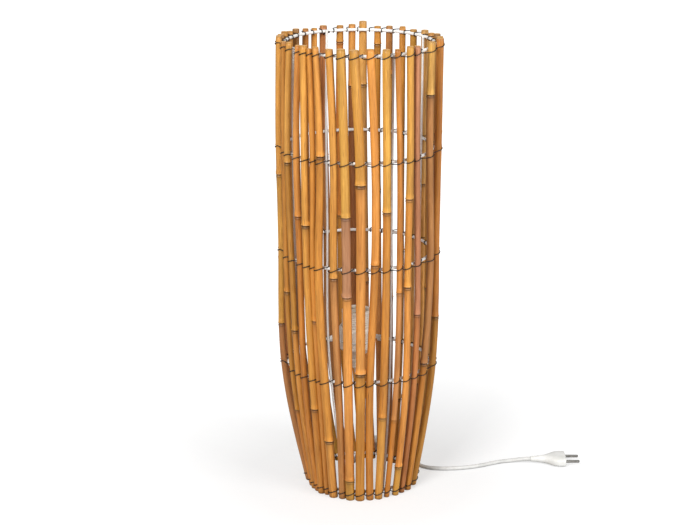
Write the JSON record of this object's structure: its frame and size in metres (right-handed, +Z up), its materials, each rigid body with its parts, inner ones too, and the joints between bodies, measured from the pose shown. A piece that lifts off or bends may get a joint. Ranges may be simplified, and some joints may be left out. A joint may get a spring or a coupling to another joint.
{
  "type": "cane table lamp",
  "caption": "Tall round lamp with a tapered foot, made of upright canes wired to steel hoops, with a lampholder inside and a mains flex with switch and plug.",
  "frame": {"origin": "on the floor, under the middle of the cage of canes (the flex and what is on it left out)", "axes": "+Z up along the lamp, -Y towards the front, the flex runs out towards +X"},
  "size_m": [0.4159, 0.2831, 0.6093],
  "materials": {
    "cane_golden": "satin",
    "cane_amber": "satin",
    "cane_reddish": "satin",
    "cane_tan": "satin",
    "white_steel": "gloss",
    "dark_wire": "dull",
    "holder_cream": "satin",
    "grip_cream": "satin",
    "insulator_white": "matte",
    "brass": "bright",
    "flex_white": "satin",
    "tie_grey": "matte",
    "switch_white": "satin",
    "rocker_white": "gloss",
    "plug_white": "satin",
    "pin_nickel": "bright"
  },
  "bodies": {
    "root": {"cane_01": "cane_golden", "cane_02": "cane_amber", "cane_03": "cane_golden", "cane_04": "cane_amber", "cane_05": "cane_golden", "cane_06": "cane_amber", "cane_07": "cane_golden", "cane_08": "cane_reddish", "cane_09": "cane_reddish", "cane_10": "cane_golden", "cane_11": "cane_golden", "cane_12": "cane_golden", "cane_13": "cane_amber", "cane_14": "cane_golden", "cane_15": "cane_tan", "cane_16": "cane_golden", "cane_17": "cane_amber", "cane_18": "cane_reddish", "cane_19": "cane_amber", "cane_20": "cane_golden", "cane_21": "cane_tan", "cane_22": "cane_amber", "cane_23": "cane_golden", "cane_24": "cane_reddish", "cane_25": "cane_amber", "cane_26": "cane_tan", "cane_27": "cane_golden", "cane_28": "cane_amber", "cane_29": "cane_reddish", "cane_30": "cane_golden", "cane_31": "cane_amber", "cane_32": "cane_tan", "cane_33": "cane_golden", "cane_34": "cane_amber", "cane_35": "cane_reddish", "cane_36": "cane_golden", "hoop_top": "white_steel", "hoop_upper": "white_steel", "hoop_middle": "white_steel", "hoop_shoulder": "white_steel", "hoop_bottom": "white_steel", "uprights": "white_steel", "lacing_wires": "dark_wire", "holder_bracket": "white_steel", "holder_skirt": "holder_cream", "shade_ring_lower": "holder_cream", "holder_base": "holder_cream", "cord_grip": "grip_cream", "contact_block": "insulator_white", "lamp_contacts": "brass", "flex_lamp_end": "flex_white", "flex_coil": "flex_white", "coil_tie": "tie_grey", "flex_plug_end": "flex_white", "switch_base": "switch_white", "switch_cover": "switch_white", "plug_body": "plug_white", "plug_pins": "pin_nickel"},
    "shade_ring": {"shade_ring_upper": "holder_cream"},
    "rocker": {"switch_rocker": "rocker_white"}
  },
  "joints": [
    {"name": "rocker_tilt", "type": "hinge", "parent": "root", "child": "rocker", "pos_m": [0.024, 0.096, 0.0148], "axis": [0, 1, 0], "range_deg": [0, 16]},
    {"name": "shade_ring_lift", "type": "slide", "parent": "root", "child": "shade_ring", "axis": [0, 0, 1], "range_m": [0, 0.06]}
  ]
}
